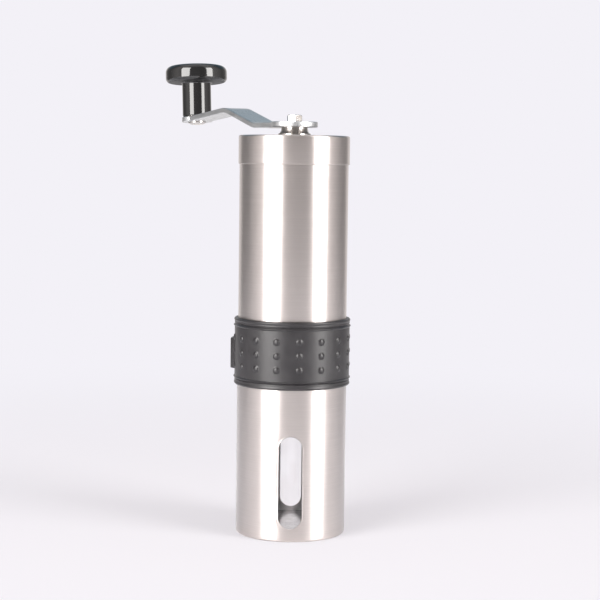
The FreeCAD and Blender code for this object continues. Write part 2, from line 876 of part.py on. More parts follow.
def make_adjusting_nut():
    # Scalloped nut on the shaft's thread; turning it sets the grind.
    body = new_body("adjusting_nut")
    bore = s.thread_diameter / 2 + s.running_gap
    outer = s.nut_diameter / 2
    bottom = plate_bottom - s.nut_height
    turn_profile(body, ring_profile(bore, outer, bottom, plate_bottom))
    relief = s.shaft_flats / 2 * hex_corner + s.moving_gap
    relief_bottom = thread_top - s.nut_height * nut_relief_share
    turn_profile(body, [(0, relief_bottom), (relief, relief_bottom),
                        (relief, plate_bottom + over), (0, plate_bottom + over)], cut=True)
    lobe = s.nut_lobe_diameter / 2

    def scallop(sketch):
        draw_circle(sketch, outer + lobe - s.nut_lobe_depth, 0, lobe)

    notch = cut_upward(body, scallop, bottom - over, s.nut_height + over * 2)
    repeat_round(body, notch, s.nut_lobes)


# ---------------------------------------------------------------- crank

def crank_placement():
    return Placement(Vector(), Rotation(UP, s.crank_turn.value))


def knob_placement():
    # Origin on the arm's upper face at the knob's axis, leaning with the drooping end.
    droop = s.arm_droop.value
    run = s.arm_reach.value - s.arm_second_bend.value
    lift = s.arm_thickness.value + s.arm_rise.value
    height = arm_seat.value + lift - run * math.tan(math.radians(droop))
    lean = Placement(Vector(s.arm_reach.value, 0, height), Rotation(Vector(0, 1, 0), droop))
    return crank_placement().multiply(lean)


def make_crank_arm():
    # Stamped strip with an eye at each end and two bends, laid out along +X.
    body = new_body("crank_arm")
    body.Placement = crank_placement()
    bind(body, "Placement.Rotation.Angle", s.crank_turn)
    hub = s.hub_eye / 2
    eye = s.knob_eye / 2
    tip = s.arm_reach + eye
    thick = s.arm_thickness
    low = arm_seat
    high = arm_seat + s.arm_rise
    first = s.arm_first_bend
    second = s.arm_second_bend
    droop = math.radians(s.arm_droop.value)
    slope = math.atan2(s.arm_rise.value, second.value - first.value)
    drop = (tip - second) * math.tan(droop)
    # where the strip's lower face turns, set off squarely from its upper face
    spread = 1 + math.cos(slope + droop)
    second_along = (math.sin(slope) - math.sin(droop)) / spread
    second_down = (math.cos(slope) + math.cos(droop)) / spread
    first_low = (first + thick * math.tan(slope / 2), low)
    second_low = (second + thick * second_along, high + thick - thick * second_down)
    first_high = (first, low + thick)
    second_high = (second, high + thick)
    sketch = new_sketch(body, "XZ_Plane")
    draw_outline(sketch, [(-hub, low), first_low, second_low,
                          (tip, high + thick - drop - thick / math.cos(droop)),
                          (tip, high + thick - drop), second_high, first_high,
                          (-hub, low + thick)])
    strip = body.newObject("PartDesign::Pad", "strip")
    strip.Profile = sketch
    set_both_sides(strip)
    bind(strip, "Length", s.hub_eye + over * 2)
    doc.recompute()
    round_bends(body, [second_low, first_high], s.arm_bend_radius)
    round_bends(body, [first_low, second_high], s.arm_bend_radius + thick)
    trim_strip(body, hub, eye, tip)

    def hex_hole(sketch):
        draw_outline(sketch, hexagon(s.shaft_flats + s.slip_gap * 2, s.shaft_turn - s.crank_turn))

    cut_upward(body, hex_hole, low - over, thick + over * 2)

    def pin_hole(sketch):
        draw_circle(sketch, s.arm_reach, 0, s.pin_diameter / 2 + s.slip_gap * 2)

    cut_upward(body, pin_hole, low, s.arm_rise + thick * 2)


def round_bends(body, corners, radius):
    # Fillets the level edges across the strip at the given corners.
    base = body.Tip
    names = []
    for index, edge in enumerate(base.Shape.Edges, start=1):
        middle = edge.CenterOfMass
        for across, up in corners:
            offset = math.hypot(middle.x - across.value, middle.z - up.value)
            if offset < 0.05 and abs(middle.y) < 0.01:
                names.append("Edge%d" % index)
    if len(names) != len(corners):
        raise ValueError("a bend of the arm is missing")
    fillet = body.newObject("PartDesign::Fillet", "bends")
    fillet.Base = (base, names)
    bind(fillet, "Radius", radius)
    body.Tip = fillet
    doc.recompute()


def trim_strip(body, hub, eye, tip):
    # Cuts away what lies outside the arm's outline seen from above.
    before = body.Shape.Volume
    half = s.arm_width / 2
    sketch = new_sketch(body, "XY_Plane", height=arm_seat - over)
    margin = s.hub_eye
    far = tip + margin
    draw_outline(sketch, [(-margin, -margin), (far, -margin), (far, margin), (-margin, margin)])
    neck_hub = hub.value * math.cos(math.asin(half.value / hub.value))
    neck_eye = eye.value * math.cos(math.asin(half.value / eye.value))
    reach = s.arm_reach.value
    start = math.asin(half.value / hub.value)
    end = math.asin(half.value / eye.value)
    round_hub = Part.ArcOfCircle(Part.Circle(Vector(), UP, hub.value), start,
                                 2 * math.pi - start)
    round_eye = Part.ArcOfCircle(Part.Circle(Vector(reach, 0, 0), UP, eye.value),
                                 -math.pi + end, math.pi - end)
    near_low = Vector(neck_hub, -half.value, 0)
    far_low = Vector(reach - neck_eye, -half.value, 0)
    near_high = Vector(neck_hub, half.value, 0)
    far_high = Vector(reach - neck_eye, half.value, 0)
    arc_hub = sketch.addGeometry(round_hub, False)
    low_side = sketch.addGeometry(Part.LineSegment(near_low, far_low), False)
    arc_eye = sketch.addGeometry(round_eye, False)
    high_side = sketch.addGeometry(Part.LineSegment(far_high, near_high), False)
    chain = [arc_hub, low_side, arc_eye, high_side]
    for place, element in enumerate(chain):
        following = chain[(place + 1) % len(chain)]
        sketch.addConstraint(Sketcher.Constraint("Coincident", element, 2, following, 1))
    fix_point(sketch, arc_hub, 3, 0, 0)
    fix_point(sketch, arc_eye, 3, s.arm_reach, 0)
    for arc, radius in ((arc_hub, hub), (arc_eye, eye)):
        index = sketch.addConstraint(Sketcher.Constraint("Radius", arc, radius.value))
        bind(sketch, "Constraints[%d]" % index, radius)
    for line, place in ((low_side, -half), (high_side, half)):
        for point in (1, 2):
            fix_number(sketch, "DistanceY", line, point, place)
    pocket = body.newObject("PartDesign::Pocket", "outline")
    pocket.Profile = sketch
    pocket.Reversed = True
    bind(pocket, "Length", s.arm_rise + s.arm_thickness * 3)
    doc.recompute()
    if body.Shape.Volume > before - 1e-3:
        raise ValueError("the arm's outline cuts nothing")


def make_crank_collar():
    # Polished flared collar pressed on the arm's underside, clear of the lid.
    body = new_body("crank_collar")
    bottom = lid_top + s.moving_gap
    bore = shaft_radius + s.slip_gap
    top_radius = s.collar_top / 2
    foot = s.collar_bottom / 2
    height = arm_seat - bottom
    middle = top_radius + (foot - top_radius) * collar_waist_share
    turn_profile(body, [(bore, bottom), (foot, bottom), (foot, bottom + height * collar_rim_share),
                        (middle, bottom + height * collar_waist_height), (top_radius, arm_seat),
                        (bore, arm_seat)])


# ---------------------------------------------------------------- knob

def make_knob():
    # Turning grip: a stem with a flat round head, hollow for its pin and clip.
    body = new_body("knob")
    body.Placement = knob_placement()
    bottom = s.knob_washer_thickness + s.slip_gap
    under = bottom + s.stem_length
    top = under + s.knob_thickness
    stem = s.stem_diameter / 2
    bore = s.pin_diameter / 2 + s.running_gap
    pocket = s.knob_cap_diameter / 2
    pocket_floor = top - s.knob_pocket_depth
    turn_profile(body, [(bore, bottom), (stem, bottom), (stem, under),
                        (knob_plate_radius, under), (knob_plate_radius, top),
                        (pocket, top), (pocket, top - s.knob_cap_thickness),
                        (pocket - s.knob_cap_ledge, top - s.knob_cap_thickness),
                        (pocket - s.knob_cap_ledge, pocket_floor), (bore, pocket_floor)])
    round_rims(body, s.knob_edge, [(knob_plate_radius, under), (knob_plate_radius, top)])


def make_knob_cap():
    body = new_body("knob_cap")
    body.Placement = knob_placement()
    top = s.knob_washer_thickness + s.slip_gap + s.stem_length + s.knob_thickness
    radius = s.knob_cap_diameter / 2 - s.press_gap
    turn_profile(body, [(0, top - s.knob_cap_thickness), (radius, top - s.knob_cap_thickness),
                        (radius, top), (0, top)])


def make_knob_pin():
    # Headed pin riveted through the arm, which the knob turns on.
    body = new_body("knob_pin")
    body.Placement = knob_placement()
    shank = s.pin_diameter / 2
    head = s.pin_head / 2
    under = -s.arm_thickness
    floor = s.knob_washer_thickness + s.slip_gap + s.stem_length + s.knob_thickness
    floor = floor - s.knob_pocket_depth
    top = floor + s.moving_gap + s.clip_thickness * 2
    face = head * pin_head_face_share
    turn_profile(body, [(0, under - s.pin_head_height), (face, under - s.pin_head_height),
                        (head, under - s.pin_head_height * pin_head_rim_share), (head, under),
                        (shank, under), (shank, top), (0, top)])


def make_knob_clip():
    # Push-on clip over the pin's end that keeps the knob on.
    body = new_body("knob_clip")
    body.Placement = knob_placement()
    floor = s.knob_washer_thickness + s.slip_gap + s.stem_length + s.knob_thickness
    bottom = floor - s.knob_pocket_depth + s.moving_gap
    turn_profile(body, ring_profile(s.pin_diameter / 2 + s.press_gap, s.pin_diameter,
                                    bottom, bottom + s.clip_thickness))


def make_knob_washer():
    body = new_body("knob_washer")
    body.Placement = knob_placement()
    turn_profile(body, ring_profile(s.pin_diameter / 2 + s.slip_gap, s.knob_washer_diameter / 2,
                                    Size(0.0, "0"), s.knob_washer_thickness))


make_catch_cup()
make_cup_floor()
make_pane("window_pane_front", 0)
make_pane("window_pane_rear", 180)
make_main_tube()
make_lid()
make_grip_band()
make_burr_housing()
make_upper_bridge()
make_bush("lower_bush", hub_bottom, hub_top)
make_bush("upper_bush", bridge_bottom, bridge_top)
make_burr_retainer()
make_retainer_screws()
make_ring_burr()
make_cone_burr()
make_drive_shaft()
make_shaft_clip()
make_thrust_washer()
make_burr_spring()
make_click_plate()
make_adjusting_nut()
make_crank_arm()
make_crank_collar()
make_knob()
make_knob_cap()
make_knob_pin()
make_knob_clip()
make_knob_washer()

doc.recompute()
for item in doc.Objects:
    if "Invalid" in item.State or "Error" in item.State:
        raise RuntimeError("%s failed: %s" % (item.Label, item.State))
for part in parts:
    if part.Shape.isNull() or not part.Shape.isValid():
        raise RuntimeError(part.Label + " has no valid shape")

os.makedirs("parts", exist_ok=True)
for part in parts:
    part.Shape.exportStep("parts/%s.step" % part.Label)
    box = part.Shape.BoundBox
    print("%-18s solids %d volume %9.1f  z %7.2f to %7.2f" % (
        part.Label, len(part.Shape.Solids), part.Shape.Volume, box.ZMin, box.ZMax))
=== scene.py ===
import json
import math

import bmesh
import bpy
import numpy as np
from mathutils import Matrix, Vector


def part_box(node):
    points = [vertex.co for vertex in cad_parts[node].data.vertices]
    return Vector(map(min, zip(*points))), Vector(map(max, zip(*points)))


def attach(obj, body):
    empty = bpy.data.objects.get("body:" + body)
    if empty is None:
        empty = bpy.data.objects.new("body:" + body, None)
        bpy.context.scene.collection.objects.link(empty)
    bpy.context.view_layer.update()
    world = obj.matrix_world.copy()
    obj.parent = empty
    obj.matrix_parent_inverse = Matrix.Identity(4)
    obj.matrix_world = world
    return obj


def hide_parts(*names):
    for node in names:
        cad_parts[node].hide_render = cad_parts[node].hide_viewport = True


# Hand crank coffee grinder: brushed steel cup and tube, rubber grip band, stamped crank arm and
# a black knob on a round stem.
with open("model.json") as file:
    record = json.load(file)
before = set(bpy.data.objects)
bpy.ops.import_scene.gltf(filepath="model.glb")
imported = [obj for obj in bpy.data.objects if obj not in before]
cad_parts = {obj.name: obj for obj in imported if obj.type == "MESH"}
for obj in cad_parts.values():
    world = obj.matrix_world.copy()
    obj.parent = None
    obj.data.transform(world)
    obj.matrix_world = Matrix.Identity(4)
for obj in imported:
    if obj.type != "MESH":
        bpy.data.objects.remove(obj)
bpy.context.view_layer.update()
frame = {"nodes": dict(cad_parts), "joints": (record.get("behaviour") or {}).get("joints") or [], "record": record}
nodes = frame["nodes"]
mm = 0.001
tiny = 1e-9  # keeps a division by a length or a sine away from zero
scene = bpy.context.scene
print("frame loaded:", len(nodes), "nodes")


def linearColour(hexText):
    # sRGB hex value to the linear red, green, blue and alpha that a shader takes
    curve = {"white": 255, "knee": 0.04045, "slope": 12.92, "offset": 0.055, "power": 2.4}
    srgb = np.array([int(hexText[start:start + 2], 16) for start in (0, 2, 4)]) / curve["white"]
    bent = ((srgb + curve["offset"]) / (1 + curve["offset"])) ** curve["power"]
    return (*np.where(srgb <= curve["knee"], srgb / curve["slope"], bent).tolist(), 1.0)


def addNode(tree, kind, inputs=None, **settings):
    # one node with its settings; an input is a plain value or another node's output
    node = tree.nodes.new(kind)
    for key, value in settings.items():
        setattr(node, key, value)
    for key, value in (inputs or {}).items():
        if isinstance(value, bpy.types.NodeSocket):
            tree.links.new(value, node.inputs[key])
        else:
            node.inputs[key].default_value = value
    return node


def gridFaces(rows, columns, closeRows, closeColumns):
    # corner numbers of the quads between neighbouring rows and columns of a grid of points
    row = np.arange(rows if closeRows else rows - 1)[:, None]
    column = np.arange(columns if closeColumns else columns - 1)[None, :]
    nextRow = (row + 1) % rows
    nextColumn = (column + 1) % columns
    corners = [row * columns + column, row * columns + nextColumn,
               nextRow * columns + nextColumn, nextRow * columns + column]
    return np.stack(corners, axis=-1).reshape(-1, 4)


def meshFromGrids(name, grids, awayFrom=None, mergeDistance=0.002 * mm):
    # each grid is (points by row and column, rows closed, columns closed); seams and poles merge
    vertices, faces, start = [], [], 0
    for points, closeRows, closeColumns in grids:
        rows, columns = points.shape[:2]
        faces.append(gridFaces(rows, columns, closeRows, closeColumns) + start)
        vertices.append(points.reshape(-1, 3))
        start += rows * columns
    mesh = bpy.data.meshes.new(name)
    mesh.from_pydata(np.concatenate(vertices).tolist(), [], np.concatenate(faces).tolist())
    work = bmesh.new()
    work.from_mesh(mesh)
    bmesh.ops.remove_doubles(work, verts=work.verts, dist=mergeDistance)
    bmesh.ops.recalc_face_normals(work, faces=work.faces)
    if awayFrom is not None:
        # an open sheet has no inside, so it is turned to face away from the given point
        facing = sum(face.calc_area() * face.normal.dot(face.calc_center_median() - awayFrom)
                     for face in work.faces)
        if facing < 0:
            bmesh.ops.reverse_faces(work, faces=work.faces)
    work.to_mesh(mesh)
    work.free()
    return mesh


def smoothShade(mesh, sharpAngle=32):
    # smooth all over but for the edges where the surface turns by more than the angle
    mesh.polygons.foreach_set("use_smooth", np.ones(len(mesh.polygons), bool))
    mesh.set_sharp_from_angle(angle=math.radians(sharpAngle))


def addPiece(mesh, body, material, replaces=()):
    # a mesh becomes a piece: what it is made of, the body it rides and the nodes it stands for
    piece = bpy.data.objects.new(mesh.name, mesh)
    scene.collection.objects.link(piece)
    mesh.materials.append(material)
    smoothShade(mesh)
    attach(piece, body)
    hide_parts(*replaces)
    return piece


def giveWall(piece, thickness, edge, edgeSegments=3, edgeAngle=50):
    # a sheet gets its thickness inwards and softened edges, and keeps them as its own mesh
    wall = piece.modifiers.new("wall", "SOLIDIFY")
    wall.thickness = thickness
    wall.offset = -1
    wall.use_even_offset = True
    rim = piece.modifiers.new("rim", "BEVEL")
    rim.width = edge
    rim.segments = edgeSegments
    rim.limit_method = "ANGLE"
    rim.angle_limit = math.radians(edgeAngle)
    rim.use_clamp_overlap = True
    bpy.context.view_layer.update()
    evaluated = piece.evaluated_get(bpy.context.evaluated_depsgraph_get())
    finished = bpy.data.meshes.new_from_object(evaluated)
    piece.modifiers.clear()
    finished.name = piece.name
    piece.data = finished
    smoothShade(finished)


def roundCorners(corners, radii, steps=6):
    # each corner of an outline gives way to an arc that touches both of its sides
    points = np.asarray(corners, float)
    radii = np.broadcast_to(np.asarray(radii, float), len(points))[:, None]
    before = np.roll(points, 1, axis=0) - points
    after = np.roll(points, -1, axis=0) - points
    before = before / np.linalg.norm(before, axis=1, keepdims=True)
    after = after / np.linalg.norm(after, axis=1, keepdims=True)
    half = np.arccos(np.clip((before * after).sum(1, keepdims=True), -1, 1)) / 2
    bisector = before + after
    bisector = bisector / np.maximum(np.linalg.norm(bisector, axis=1, keepdims=True), tiny)
    centre = points + bisector * radii / np.sin(half)
    reach = radii / np.tan(half)
    sweep = np.pi - 2 * half
    whole = np.maximum(np.sin(sweep), tiny)
    share = np.linspace(0, 1, steps + 1)[None, :]
    fromStart = (np.sin((1 - share) * sweep) / whole)[:, :, None]
    fromEnd = (np.sin(share * sweep) / whole)[:, :, None]
    first = (points + before * reach - centre)[:, None, :]
    last = (points + after * reach - centre)[:, None, :]
    arcs = centre[:, None, :] + fromStart * first + fromEnd * last
    return arcs.reshape(-1, 2)


def turned(profile, columns):
    # every (radius, height) of a profile goes round the upright axis:
    # radius times cosine, radius times sine, height
    angle = np.linspace(0, 2 * np.pi, columns, endpoint=False)[None, :]
    radius = profile[:, :1]
    height = np.broadcast_to(profile[:, 1:], (len(profile), columns))
    return np.stack([radius * np.cos(angle), radius * np.sin(angle), height], axis=-1)


def turnedRing(name, corners, radii, columns=192, steps=6, place=None):
    # a closed outline of radius and height in millimetres, turned into a ring
    grid = turned(roundCorners(corners, radii, steps) * mm, columns)
    return meshFromGrids(name, [(moved(grid, place), True, True)])


def turnedSolid(name, corners, radii, columns=96, steps=6, place=None):
    # an open outline that begins and ends on the axis, turned into a solid
    grid = turned(roundCorners(corners, radii, steps) * mm, columns)
    return meshFromGrids(name, [(moved(grid, place), False, True)])


def moved(grid, place):
    # each point turned and then shifted to its place
    if place is None:
        return grid
    return grid @ np.array(place.to_3x3()).T + np.array(place.translation)


def millimetres(node):
    # the low and the high corner of a node's box
    low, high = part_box(node)
    return low / mm, high / mm


def smoothStep(share):
    # rises from 0 to 1 and is level at both ends: three times the square less twice the cube
    return share * share * (3 - 2 * share)


def hump(distance, reach):
    # a smooth rise from 0 at reach to 1 at no distance
    return smoothStep(np.clip(1 - np.abs(distance) / reach, 0, 1))


def resampled(outline, count):
    # points at even steps along an outline, without its last point
    run = np.concatenate([[0], np.cumsum(np.linalg.norm(np.diff(outline, axis=0), axis=1))])
    at = np.linspace(0, run[-1], count, endpoint=False)
    return np.stack([np.interp(at, run, outline[:, 0]), np.interp(at, run, outline[:, 1])], -1)


def hexagonRadius(angle, flats):
    # distance from the middle of a hexagon to its side: half the flats over the cosine of the
    # angle off the side's middle, with the angle measured from a corner
    offset = (angle + math.pi / 6) % (math.pi / 3) - math.pi / 6
    return flats / 2 / np.cos(np.abs(np.abs(offset) - math.pi / 6))


def startMaterial(name):
    # a material of one shader, wired to its output
    material = bpy.data.materials.new(name)
    material.use_nodes = True
    tree = material.node_tree
    tree.nodes.clear()
    shader = addNode(tree, "ShaderNodeBsdfPrincipled")
    addNode(tree, "ShaderNodeOutputMaterial", {"Surface": shader.outputs["BSDF"]})
    return material, tree, shader


def connect(tree, output, node, key):
    tree.links.new(output, node.inputs[key])


def ringCoordinate(tree):
    # object coordinates with the distance from the axis added to the height, so that one fast
    # direction runs up a turned wall and also outwards over a flat lid
    place = addNode(tree, "ShaderNodeTexCoord")
    split = addNode(tree, "ShaderNodeSeparateXYZ", {0: place.outputs["Object"]})
    across, along, up = (split.outputs[axis] for axis in "XYZ")
    flat = addNode(tree, "ShaderNodeCombineXYZ", {0: across, 1: along})
    radius = addNode(tree, "ShaderNodeVectorMath", {0: flat.outputs[0]}, operation="LENGTH")
    travel = addNode(tree, "ShaderNodeMath", {0: up, 1: radius.outputs["Value"]}, operation="ADD")
    return addNode(tree, "ShaderNodeCombineXYZ", {0: across, 1: along, 2: travel.outputs[0]})


def finishSurface(tree, shader, pattern, relief, spread, settings):
    # the pattern's value, within its usual spread, picks the colour and the roughness, and the
    # relief's value lifts the surface
    tint = addNode(tree, "ShaderNodeValToRGB", {"Fac": pattern})
    ends = zip(tint.color_ramp.elements, spread, (settings["dark"], settings["light"]))
    for element, position, colour in ends:
        element.position = position
        element.color = linearColour(colour)
    rough = addNode(tree, "ShaderNodeMapRange", {
        "Value": pattern, "From Min": spread[0], "From Max": spread[1],
        "To Min": settings["roughness"][0], "To Max": settings["roughness"][1]})
    bump = addNode(tree, "ShaderNodeBump", {
        "Height": relief, "Distance": settings["depth"] * mm, "Strength": settings["strength"]})
    gloss = rough.outputs["Result"]
    if "dullFace" in settings:
        # the side that the finish did not reach is rougher; facing is 1 up, 0 sideways, -1 down
        dull = settings["dullFace"]
        normal = addNode(tree, "ShaderNodeNewGeometry").outputs["Normal"]
        facing = addNode(tree, "ShaderNodeSeparateXYZ", {0: normal}).outputs["Z"]
        if dull["upOrDown"]:
            facing = addNode(tree, "ShaderNodeMath", {0: facing}, operation="ABSOLUTE").outputs[0]
        more = addNode(tree, "ShaderNodeMapRange", {
            "Value": facing, "From Min": dull["starts"], "From Max": dull["full"],
            "To Min": 0.0, "To Max": dull["extra"]})
        total = addNode(tree, "ShaderNodeMath", {0: gloss, 1: more.outputs["Result"]},
                        operation="ADD")
        gloss = total.outputs[0]
    connect(tree, tint.outputs["Color"], shader, "Base Color")
    connect(tree, gloss, shader, "Roughness")
    connect(tree, bump.outputs["Normal"], shader, "Normal")


def brushedSteel(name, settings, tangentFromAxis):
    # 18/8 stainless sheet finished with an abrasive belt: the eye sees fine lines along the
    # belt's way, and lights drawn out across them
    lineNoise = {"Scale": 1.0, "Detail": 3.0, "Roughness": 0.6}
    spread = (0.3, 0.7)
    material, tree, shader = startMaterial(name)
    if tangentFromAxis:
        vector = ringCoordinate(tree).outputs[0]
    else:
        vector = addNode(tree, "ShaderNodeTexCoord").outputs["Object"]
    turn = addNode(tree, "ShaderNodeMapping", {
        "Vector": vector, "Rotation": (0, 0, -math.radians(settings["turn"]))})
    stretch = addNode(tree, "ShaderNodeMapping", {
        "Vector": turn.outputs[0], "Scale": tuple(1 / (size * mm) for size in settings["grain"])})
    lines = addNode(tree, "ShaderNodeTexNoise", {"Vector": stretch.outputs[0], **lineNoise})
    pattern = lines.outputs["Fac"]
    finishSurface(tree, shader, pattern, pattern, spread, settings)
    shader.inputs["Metallic"].default_value = 1.0
    shader.inputs["Anisotropic"].default_value = settings["anisotropic"]
    if tangentFromAxis:
        tangent = addNode(tree, "ShaderNodeTangent", direction_type="RADIAL", axis="Z")
        connect(tree, tangent.outputs[0], shader, "Tangent")
        shader.inputs["Anisotropic Rotation"].default_value = settings["rotation"]
    return material


def speckled(name, settings):
    # a plain moulded, sintered or turned surface: slight mottling of colour and gloss, and a
    # fine texture
    spread = (0.35, 0.65)
    material, tree, shader = startMaterial(name)
    place = addNode(tree, "ShaderNodeTexCoord").outputs["Object"]
    grain = addNode(tree, "ShaderNodeTexNoise", {
        "Vector": place, "Detail": 4.0, "Scale": 1 / (settings["grain"] * mm)})
    cloud = addNode(tree, "ShaderNodeTexNoise", {
        "Vector": place, "Detail": 2.0, "Scale": 1 / (settings["cloud"] * mm)})
    finishSurface(tree, shader, cloud.outputs["Fac"], grain.outputs["Fac"], spread, settings)
    for key, value in settings["shader"].items():
        shader.inputs[key].default_value = value
    return material


# grain and cloud are sizes in millimetres, depth is in millimetres too
# belt lines are a tenth of a millimetre apart; drawn at about twice that so that they show
turnedSteel = brushedSteel("brushedStainlessTurned", {
    "turn": 0, "grain": (30, 30, 0.22), "dark": "bbb4b1", "light": "c3bcb9",
    "roughness": (0.31, 0.35), "depth": 0.002, "strength": 0.35, "anisotropic": 0.85,
    "rotation": 0.25}, True)
# stamped arm: belt-finished along its length before it was bent; its sheared edge is duller
armSteel = brushedSteel("brushedStainlessStrip", {
    "turn": 115, "grain": (16, 0.35, 3), "dark": "babcbe", "light": "d2d4d6",
    "roughness": (0.26, 0.34), "depth": 0.006, "strength": 0.35, "anisotropic": 0.0,
    "dullFace": {"upOrDown": True, "starts": 0.6, "full": 0.3, "extra": 0.08}}, False)
# machined and tumbled steel, bright, with faint turning marks
brightSteel = brushedSteel("turnedStainlessBright", {
    "turn": 0, "grain": (6, 6, 0.3), "dark": "b8b3ae", "light": "d6d2ce",
    "roughness": (0.14, 0.22), "depth": 0.004, "strength": 0.4, "anisotropic": 0.0}, False)
# moulded silicone rubber: matt with a soft sheen, grey from the mould's fine blasting
rubber = speckled("mouldedRubber", {
    "grain": 0.35, "cloud": 6, "dark": "1d1b1d", "light": "242224", "roughness": (0.34, 0.40),
    "depth": 0.03, "strength": 0.5, "shader": {"IOR": 1.5}})
# injection moulded phenolic, polished: deep black with crisp lights, matt where it faces down
# because that side is left as it came from the mould
blackGloss = speckled("mouldedPhenolicGloss", {
    "grain": 1.2, "cloud": 9, "dark": "050506", "light": "09090a", "roughness": (0.06, 0.10),
    "depth": 0.004, "strength": 0.2, "shader": {"IOR": 1.6, "Specular IOR Level": 0.58},
    "dullFace": {"upOrDown": False, "starts": -0.7, "full": -0.95, "extra": 0.5}})
# glass filled nylon burr carrier, dull black with a pale bloom
nylon = speckled("glassFilledNylon", {
    "grain": 0.3, "cloud": 5, "dark": "0c0c0d", "light": "151516", "roughness": (0.4, 0.55),
    "depth": 0.02, "strength": 0.5, "shader": {"IOR": 1.53}})
# acetal bushes, milky white and slightly waxy
acetal = speckled("turnedAcetal", {
    "grain": 0.4, "cloud": 4, "dark": "dcdad2", "light": "e8e6df", "roughness": (0.35, 0.45),
    "depth": 0.01, "strength": 0.4, "shader": {"IOR": 1.48}})
# sintered alumina burrs: ivory, chalky between the ground edges
ceramic = speckled("sinteredAlumina", {
    "grain": 0.25, "cloud": 3, "dark": "dad3c4", "light": "ece7dc", "roughness": (0.4, 0.55),
    "depth": 0.02, "strength": 0.5, "shader": {"IOR": 1.76}})
# moulded clear styrene-acrylic panes: water clear with a trace of moulding haze
clearPlastic = speckled("mouldedClearAcrylic", {
    "grain": 2.5, "cloud": 8, "dark": "fcfbfb", "light": "ffffff", "roughness": (0.01, 0.03),
    "depth": 0.004, "strength": 0.15, "shader": {"IOR": 1.49, "Transmission Weight": 1.0}})

finishes = {
    "brushed_steel": turnedSteel, "polished_steel": brightSteel, "clear_plastic": clearPlastic,
    "grip_rubber": rubber, "black_gloss_plastic": blackGloss, "nylon": nylon,
    "bush_plastic": acetal, "ceramic": ceramic}
slotOf = {part["node"]: part["material_slot"] for part in frame["record"]["subparts"]}
for nodeName, nodeObject in nodes.items():
    nodeObject.data.materials.clear()
    nodeObject.data.materials.append(finishes[slotOf[nodeName]])
print("materials made")


def makeTube():
    # a straight wall, turned
    look = {"wall": 0.8, "edge": 0.2}
    low, high = millimetres("main_tube")
    inner = high.x - look["wall"]
    corners = [(inner, low.z), (high.x, low.z), (high.x, high.z), (inner, high.z)]
    mesh = turnedRing("tubeShell", corners, look["edge"])
    addPiece(mesh, "tube", turnedSteel, ["main_tube"])


def makeLid():
    # a skirt and a plate with the shaft's hole in it, turned
    look = {"skirtWall": 0.4, "plate": 0.6, "hole": 4.2, "topEdge": 0.9, "innerEdge": 0.3,
            "hem": 0.28, "holeEdge": 0.2, "burr": 0.1, "steps": 8}
    low, high = millimetres("lid")
    inner = high.x - look["skirtWall"]
    under = high.z - look["plate"]
    corners = [(look["hole"], under), (inner, under), (inner, low.z), (high.x, low.z),
               (high.x, high.z), (look["hole"], high.z)]
    radii = [look[edge] for edge in ("burr", "innerEdge", "burr", "hem", "topEdge", "holeEdge")]
    mesh = turnedRing("lidShell", corners, radii, steps=look["steps"])
    addPiece(mesh, "lid", turnedSteel, ["lid"])


